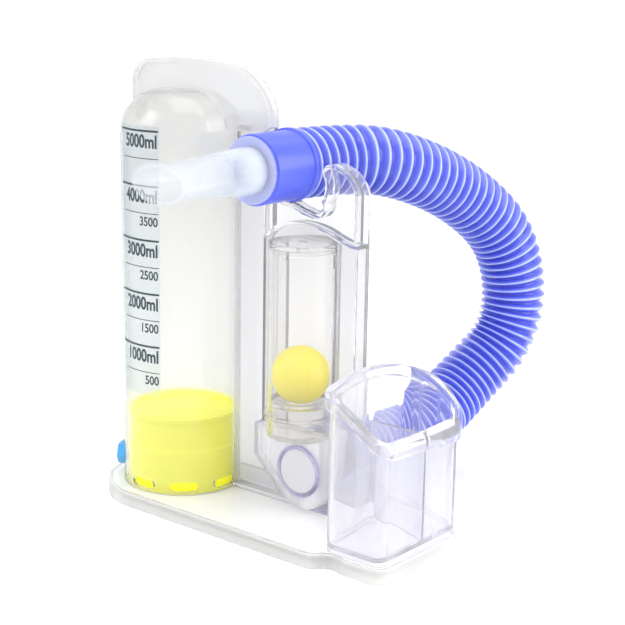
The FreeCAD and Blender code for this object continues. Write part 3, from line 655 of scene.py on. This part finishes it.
bay = {
    "left": 60.2,
    "right": 93.8,
    "halfDepth": 30.6,
    "shiftY": 0.8,
    "wall": 1.7,
    "corner": 6.2,
    "floorZ": 10.6,
    "rim": 2.3,
    "rimHeight": 6.0,
    "dividerY": 3.0,
    "dividerWall": 1.5,
    "dividerTop": 62.0,
    "frontHeights": (80.5, 77.3, 71.0, 64.5),
    "middleHeights": (87.0, 82.5, 73.5, 63.0),
    "backHeights": (82.0, 81.5, 76.5, 63.5),
    "sectionReach": 32.6,
}


# The curve through four values at 0, 1, 2 and 3
def cubicThrough(values, t):
    total = 0
    for i in range(4):
        part = values[i]
        for j in range(4):
            if j != i:
                part *= (t - j) / (i - j)
        total += part
    return total


def mouthHeight(x, y):
    t = (x - bay["left"]) / (bay["right"] - bay["left"]) * 3
    v = y / bay["sectionReach"]
    front = cubicThrough(bay["frontHeights"], t)
    middle = cubicThrough(bay["middleHeights"], t)
    back = cubicThrough(bay["backHeights"], t)
    return front * v * (v - 1) / 2 + middle * (1 - v * v) + back * v * (v + 1) / 2


def bayLoop(inset, steps=12):
    radius = bay["corner"] - inset
    x0 = bay["left"] + inset + radius
    x1 = bay["right"] - inset - radius
    y0 = bay["shiftY"] - bay["halfDepth"] + inset + radius
    y1 = bay["shiftY"] + bay["halfDepth"] - inset - radius
    loop = []
    sides = ((x1, y0, -90), (x1, y1, 0), (x0, y1, 90), (x0, y0, 180))
    for index, (x, y, start) in enumerate(sides):
        for k in range(steps + 1):
            angle = math.radians(start + 90 * k / steps)
            loop.append((x + radius * math.cos(angle), y + radius * math.sin(angle)))
        nextX, nextY, nextStart = sides[(index + 1) % 4]
        a = loop[-1]
        b = (nextX + radius * math.cos(math.radians(nextStart)), nextY + radius * math.sin(math.radians(nextStart)))
        for k in range(1, 10):
            loop.append((a[0] + (b[0] - a[0]) * k / 10, a[1] + (b[1] - a[1]) * k / 10))
    return loop


# A ring at one height, or under the sloping mouth by a drop
def bayRing(inset, height=None, drop=0.0):
    if height is not None:
        return [point(x, y, height) for x, y in bayLoop(inset)]
    return [point(x, y, mouthHeight(x, y) - drop) for x, y in bayLoop(inset)]


def makeBay():
    wall = bay["wall"]
    rim = bay["rim"]
    foot = deckZ + glueGap
    rings = [
        bayRing(wall, bay["floorZ"] - wall), bayRing(wall, foot), bayRing(0.3, foot), bayRing(0, deckZ + 0.3),
        bayRing(0, drop=bay["rimHeight"] + 0.4), bayRing(-0.25, drop=bay["rimHeight"]),
        bayRing(-rim, drop=bay["rimHeight"] - 0.7), bayRing(-rim, drop=0.7), bayRing(-rim + 0.3, drop=0.2),
        bayRing(-rim + 0.8, drop=0), bayRing(wall - 0.8, drop=0), bayRing(wall - 0.2, drop=0.3),
        bayRing(wall, drop=0.9), bayRing(wall, bay["floorZ"] + 1.6), bayRing(wall + 0.5, bay["floorZ"] + 0.5),
        bayRing(wall + 1.6, bay["floorZ"]),
    ]
    mesh = ringMesh("mouthpieceBay", rings, False, True, True)
    obj = finish("mouthpieceBay", mesh, clearBay, "housing", ["mouthpiece_bay"])
    half = bay["dividerWall"] / 2
    divider = boxMesh("divider", (bay["left"] + wall / 2, bay["dividerY"] - half, bay["floorZ"] - wall / 2),
                      (bay["right"] - wall / 2, bay["dividerY"] + half, bay["dividerTop"]))
    joinWith(obj, divider)
    return obj


makeBay()
print("stage bay done")

# Cuffs and mouthpiece

cuff = {"radius": 16.5, "lip": 1.0, "lipLength": 2.2, "throat": 14.0}


def makeCuff(name, front, length, bore, step, lipY, x, z, node):
    back = front + length
    outer = cuff["radius"]
    lip = [(outer, lipY), (outer + cuff["lip"], lipY), (outer + cuff["lip"], lipY + cuff["lipLength"]),
           (outer, lipY + cuff["lipLength"])]
    chain = [(bore, front)]
    if lipY <= front:
        chain += lip[1:]
    else:
        chain += [(outer, front)] + lip
    if back - (lipY + cuff["lipLength"]) > 0.1:
        chain.append((outer, back))
    chain += [(cuff["throat"], back), (cuff["throat"], step), (bore, step)]
    profile = roundedLoop(chain, 0.5, 3)
    mesh = lathe(name, profile, True, "Y", x, z, 96)
    return finish(name, mesh, blueCuff, "housing", [node])


makeCuff("lowerCuff", 16.2, 22.0, 11.05, 34.1, 16.2, flowX, portZ, "lower_cuff")
makeCuff("upperCuff", -21.0, 27.0, 11.05, -1.0, 3.8, hoseX, hoseZ, "upper_cuff")

mouth = {
    "frontY": -22.6,
    "length": 58.0,
    "rootRadius": 11.0,
    "halfWidth": 15.8,
    "halfHeight": 8.4,
    "wall": 1.3,
    "lip": 0.8,
    "lipLength": 3.0,
    "collarRadius": 15.8,
    "stubEnd": -2.0,
}


def ovalRing(y, halfWidth, halfHeight, segments=96):
    ring = []
    for k in range(segments):
        angle = 2 * math.pi * k / segments
        ring.append(point(hoseX + halfWidth * math.cos(angle), y, hoseZ + halfHeight * math.sin(angle)))
    return ring


# Half width and half height along the mouthpiece, from its root at 0 to its tip at 1
def mouthSize(t, shrink):
    root = mouth["rootRadius"] - shrink
    wide = mouth["halfWidth"] - shrink
    tall = mouth["halfHeight"] - shrink
    ease = t * t * (3 - 2 * t)
    return root + (wide - root) * min(1.0, ease * 1.1), root + (tall - root) * ease


def makeMouthpiece():
    rings = []
    front = mouth["frontY"]
    tip = front - mouth["length"]
    root = mouth["rootRadius"]
    rings.append(ovalRing(mouth["stubEnd"], root - 1.6, root - 1.6))
    rings.append(ovalRing(mouth["stubEnd"], root - 0.3, root - 0.3))
    rings.append(ovalRing(mouth["stubEnd"] - 0.3, root, root))
    rings.append(ovalRing(-21.35, root, root))
    collar = mouth["collarRadius"]
    for y, r in ((-21.35, collar - 0.3), (-21.6, collar), (front + 0.3, collar), (front, collar - 0.3)):
        rings.append(ovalRing(y, r, r))
    steps = 20
    for k in range(steps + 1):
        t = k / steps
        wide, tall = mouthSize(t, 0)
        y = front - mouth["length"] * t
        if y > tip + mouth["lipLength"]:
            rings.append(ovalRing(y, wide, tall))
    lipY = tip + mouth["lipLength"]
    wide, tall = mouthSize(1 - mouth["lipLength"] / mouth["length"], 0)
    rings.append(ovalRing(lipY, wide, tall))
    wide, tall = mouthSize(1, 0)
    lip = mouth["lip"]
    for y, grow in ((lipY, lip - 0.2), (lipY - 0.3, lip), (tip + 0.4, lip), (tip, lip - 0.4)):
        rings.append(ovalRing(y, wide + grow, tall + grow))
    inside = []
    for k in range(steps + 1):
        t = k / steps
        wide, tall = mouthSize(t, mouth["wall"])
        inside.append(ovalRing(front - mouth["length"] * t, wide, tall))
    rings += inside[::-1]
    mesh = ringMesh("mouthpiece", rings, True)
    return finish("mouthpieceBody", mesh, frostedWhite, "mouthpiece", ["mouthpiece"])


makeMouthpiece()
print("stage cuffs and mouthpiece done")

# Hose

hose = {
    "points": [
        (8.6, 6.0, 175.0), (8.6, 27.0, 175.0), (22.1, 62.0, 174.0), (31.1, 115.0, 154.0), (42.6, 149.0, 123.0),
        (45.1, 152.0, 75.0), (31.1, 121.0, 45.5), (30.6, 88.0, 30.5), (21.6, 57.0, 28.2), (21.6, 38.2, 28.2),
    ],
    "crest": 17.0,
    "valley": 14.7,
    "pitchStart": 6.8,
    "pitchEnd": 5.0,
    "pitchRun": 215.0,
    "wall": 1.0,
}


def hoseLine():
    curve = bpy.data.curves.new("hoseLine", "CURVE")
    curve.dimensions = "3D"
    curve.resolution_u = 40
    spline = curve.splines.new("NURBS")
    spline.points.add(len(hose["points"]) - 1)
    for slotPoint, place in zip(spline.points, hose["points"]):
        slotPoint.co = (*point(*place), 1)
    spline.order_u = 3
    spline.use_endpoint_u = True
    spline.resolution_u = 40
    obj = bpy.data.objects.new("hoseLine", curve)
    bpy.context.scene.collection.objects.link(obj)
    bpy.context.view_layer.update()
    depsgraph = bpy.context.evaluated_depsgraph_get()
    mesh = bpy.data.meshes.new_from_object(obj.evaluated_get(depsgraph))
    line = [v.co.copy() for v in mesh.vertices]
    bpy.data.objects.remove(obj)
    if (line[0] - point(*hose["points"][0])).length > (line[-1] - point(*hose["points"][0])).length:
        line.reverse()
    return line


# The line again, its points a fixed step apart
def evenly(line, step):
    lengths = [0.0]
    for a, b in zip(line, line[1:]):
        lengths.append(lengths[-1] + (b - a).length)
    total = lengths[-1]
    count = max(2, round(total / step))
    result = []
    index = 0
    for k in range(count + 1):
        want = total * k / count
        while index < len(lengths) - 2 and lengths[index + 1] < want:
            index += 1
        span = lengths[index + 1] - lengths[index]
        t = 0 if span < 1e-12 else (want - lengths[index]) / span
        result.append(line[index].lerp(line[index + 1], min(1.0, max(0.0, t))))
    return result, total


def makeHose():
    line, total = evenly(hoseLine(), 0.0005)
    count = len(line)
    side = Vector((1, 0, 0))
    rings = []
    inner = []
    phases = [0.0]
    for index in range(1, count):
        travel = total / mm * index / (count - 1)
        t = min(1.0, travel / hose["pitchRun"])
        pitch = hose["pitchStart"] + (hose["pitchEnd"] - hose["pitchStart"]) * t
        phases.append(phases[-1] + total / mm / (count - 1) / pitch)
    rounds = round(phases[-1])
    foldShadeCrestHighlights = []
    segments = 64
    for index, place in enumerate(line):
        before = line[max(0, index - 1)]
        after = line[min(count - 1, index + 1)]
        ahead = (after - before).normalized()
        side = (side - ahead * side.dot(ahead)).normalized()
        up = ahead.cross(side)
        phase = phases[index] / phases[-1] * rounds
        wave = 0.5 + 0.5 * math.cos(2 * math.pi * (phase - 0.5))
        bump = wave ** 0.9
        foldShadeCrestHighlights.append(wave)
        radius = (hose["valley"] + (hose["crest"] - hose["valley"]) * bump) * mm
        ring = []
        ringIn = []
        for k in range(segments):
            angle = 2 * math.pi * k / segments
            away = side * math.cos(angle) + up * math.sin(angle)
            ring.append(place + away * radius)
            ringIn.append(place + away * (radius - hose["wall"] * mm))
        rings.append(ring)
        inner.append(ringIn)
    mesh = ringMesh("breathingHose", rings + inner[::-1], True)
    # This attribute, from valley 0 to crest 1, drives the hose's painted shade in the valleys and painted highlight on
    # the crests
    foldShadeCrestHighlight = mesh.attributes.new("foldShadeCrestHighlight", "FLOAT", "POINT")
    values = [value for value in foldShadeCrestHighlights + foldShadeCrestHighlights[::-1] for _ in range(segments)]
    foldShadeCrestHighlight.data.foreach_set("value", values)
    obj = finish("breathingHose", mesh, blueHose, "housing", ["breathing_hose"], 80)
    path = line[::4]
    if (path[-1] - line[-1]).length > 1e-6:
        path.append(line[-1])
    print("hose length mm", round(total * 1000, 1), "rings", rounds)
    return obj, [list(p) for p in path], total


hoseObject, hosePath, hoseLength = makeHose()
print("stage hose done")

# Printed scale

scale = {
    "zeroZ": 56.5,
    "pitch": 13.18,
    "radius": 30.3,
    "tickEnd": 22.2,
    "majorStart": -28.65,
    "minorStart": -22.4,
    "majorTick": 0.95,
    "minorTick": 0.36,
    "bigText": 8.8,
    "bigBold": 0.22,
    "bigSqueeze": 0.79,
    "bigDrop": 7.9,
    "smallText": 6.2,
    "smallBold": 0.11,
    "smallSqueeze": 0.86,
    "smallDrop": 6.0,
    "hiddenFigure": 4500,
}


# An arc length in mm, counted from the front towards +X, laid onto the cylinder
def wrapPoint(x, z, radius):
    angle = x / radius
    reach = radius
    shoulder = chamber["shoulderZ"]
    if z > shoulder:
        bend = chamber["shoulder"] + radius - chamber["radius"]
        reach = radius - (bend - math.sqrt(bend ** 2 - (z - shoulder) ** 2))
    return point(cylinderX + reach * math.sin(angle), -reach * math.cos(angle), z)


def tickMesh(startAngle, endAngle, z, height):
    bm = bmesh.new()
    radius = scale["radius"]
    steps = 24
    low = []
    high = []
    for k in range(steps + 1):
        angle = math.radians(startAngle + (endAngle - startAngle) * k / steps)
        low.append(bm.verts.new(wrapPoint(angle * radius, z - height / 2, radius)))
        high.append(bm.verts.new(wrapPoint(angle * radius, z + height / 2, radius)))
    for k in range(steps):
        bm.faces.new((low[k], low[k + 1], high[k + 1], high[k]))
    mesh = bpy.data.meshes.new("tick")
    bm.to_mesh(mesh)
    bm.free()
    return mesh


# Letters on the cylinder, their right end at an arc length and their foot at z
def textMesh(text, size, right, z, bold, squeeze):
    font = bpy.data.curves.new("print", "FONT")
    font.body = text
    font.size = size
    font.align_x = "RIGHT"
    font.offset = bold
    font.resolution_u = 6
    obj = bpy.data.objects.new("print", font)
    bpy.context.scene.collection.objects.link(obj)
    depsgraph = bpy.context.evaluated_depsgraph_get()
    mesh = bpy.data.meshes.new_from_object(obj.evaluated_get(depsgraph))
    bpy.data.objects.remove(obj)
    bm = bmesh.new()
    bm.from_mesh(mesh)
    bmesh.ops.triangulate(bm, faces=bm.faces)
    for _ in range(2):
        long = [e for e in bm.edges if e.calc_length() > 1.2]
        if long:
            bmesh.ops.subdivide_edges(bm, edges=long, cuts=1)
            bmesh.ops.triangulate(bm, faces=bm.faces)
    for v in bm.verts:
        v.co = wrapPoint(right + v.co.x * squeeze, z + v.co.y, scale["radius"])
    bm.to_mesh(mesh)
    bm.free()
    return mesh


def makePrint():
    parts = []
    radius = scale["radius"]
    textRight = math.radians(scale["tickEnd"] - 0.8) * radius
    for step in range(1, 11):
        volume = step * 500
        z = scale["zeroZ"] + step * scale["pitch"]
        major = volume % 1000 == 0
        start = scale["majorStart"] if major else scale["minorStart"]
        thick = scale["majorTick"] if major else scale["minorTick"]
        parts.append(tickMesh(start, scale["tickEnd"], z, thick))
        if major:
            parts.append(textMesh(str(volume) + "ml", scale["bigText"], textRight, z - scale["bigDrop"],
                                  scale["bigBold"], scale["bigSqueeze"]))
        elif volume != scale["hiddenFigure"]:
            parts.append(textMesh(str(volume), scale["smallText"], textRight, z - scale["smallDrop"],
                                  scale["smallBold"], scale["smallSqueeze"]))
    bm = bmesh.new()
    for mesh in parts:
        bm.from_mesh(mesh)
    whole = bpy.data.meshes.new("scalePrint")
    bm.to_mesh(whole)
    bm.free()
    obj = bpy.data.objects.new("scalePrint", whole)
    bpy.context.scene.collection.objects.link(obj)
    whole.materials.append(printInk)
    thicken = obj.modifiers.new("thicken", "SOLIDIFY")
    thicken.thickness = 0.00004
    thicken.offset = 1
    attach(obj, "housing")
    return obj


makePrint()
print("stage print done")

# Floor, light and camera


def makeFloor():
    mesh = bpy.data.meshes.new("floor")
    bm = bmesh.new()
    bmesh.ops.create_grid(bm, x_segments=1, y_segments=1, size=30.0)
    bm.transform(Matrix.Translation((0, 0, -0.0003)))
    bm.to_mesh(mesh)
    bm.free()
    obj = bpy.data.objects.new("floor", mesh)
    bpy.context.scene.collection.objects.link(obj)
    material, nodes, links, out = nodeMaterial("floorWhite")
    shader = nodes.new("ShaderNodeBsdfDiffuse")
    shader.inputs["Color"].default_value = (1, 1, 1, 1)
    links.new(shader.outputs["BSDF"], out.inputs["Surface"])
    mesh.materials.append(material)
    return obj


makeFloor()


def makeWorld():
    world = bpy.data.worlds.new("studio")
    bpy.context.scene.world = world
    world.use_nodes = True
    nodes = world.node_tree.nodes
    links = world.node_tree.links
    nodes.clear()
    out = nodes.new("ShaderNodeOutputWorld")
    light = nodes.new("ShaderNodeBackground")
    light.inputs["Color"].default_value = (0.98, 0.985, 1.0, 1)
    light.inputs["Strength"].default_value = 1.03
    seen = nodes.new("ShaderNodeBackground")
    seen.inputs["Color"].default_value = (1, 1, 1, 1)
    seen.inputs["Strength"].default_value = 1.0
    path = nodes.new("ShaderNodeLightPath")
    mix = nodes.new("ShaderNodeMixShader")
    links.new(path.outputs["Is Camera Ray"], mix.inputs["Fac"])
    links.new(light.outputs["Background"], mix.inputs[1])
    links.new(seen.outputs["Background"], mix.inputs[2])
    links.new(mix.outputs["Shader"], out.inputs["Surface"])


makeWorld()


def areaLamp(name, place, target, side, power):
    light = bpy.data.lights.new(name, "AREA")
    light.shape = "RECTANGLE"
    light.size = side
    light.size_y = side
    light.energy = power
    obj = bpy.data.objects.new(name, light)
    obj.location = place
    obj.rotation_euler = (Vector(target) - Vector(place)).to_track_quat("-Z", "Y").to_euler()
    bpy.context.scene.collection.objects.link(obj)
    return obj


# Each lamp's place and target in metres, its side in metres and its power in watts
lamps = {
    "keySoftbox": ((-0.6, -0.9, 0.9), (0, 0, 0.1), 0.7, 4.2),
    "topSoftbox": ((0.1, 0.1, 1.1), (0, 0, 0.1), 0.9, 3.6),
    "sideSoftbox": ((0.85, 0.35, 0.45), (0.05, 0.1, 0.12), 0.6, 3.4),
}
for lampName, (place, target, side, power) in lamps.items():
    areaLamp(lampName, place, target, side, power)


camera = {
    "place": (0.4580, -0.5229, 0.2726),
    "back": (0.6170, -0.7507, 0.2362),
    "right": (0.7725, 0.6350, 0),
    "roll": 0.97,
    "lens": 85.77,
}


def makeCamera():
    data = bpy.data.cameras.new("camera")
    data.sensor_width = 36
    data.lens = camera["lens"]
    data.clip_end = 20
    obj = bpy.data.objects.new("camera", data)
    bpy.context.scene.collection.objects.link(obj)
    roll = math.radians(camera["roll"])
    back = Vector(camera["back"]).normalized()
    right = Vector(camera["right"]).normalized()
    up = back.cross(right).normalized()
    tiltedRight = right * math.cos(roll) + up * math.sin(roll)
    tiltedUp = up * math.cos(roll) - right * math.sin(roll)
    turn = Matrix((tiltedRight, tiltedUp, back)).transposed().to_4x4()
    obj.matrix_world = Matrix.Translation(camera["place"]) @ turn
    bpy.context.scene.camera = obj


makeCamera()
bpy.context.scene.view_settings.view_transform = "Standard"
cycles = bpy.context.scene.cycles
cycles.transparent_max_bounces = 64
cycles.max_bounces = 16
cycles.diffuse_bounces = 6
cycles.glossy_bounces = 6
cycles.transmission_bounces = 16

print("stage scene done")
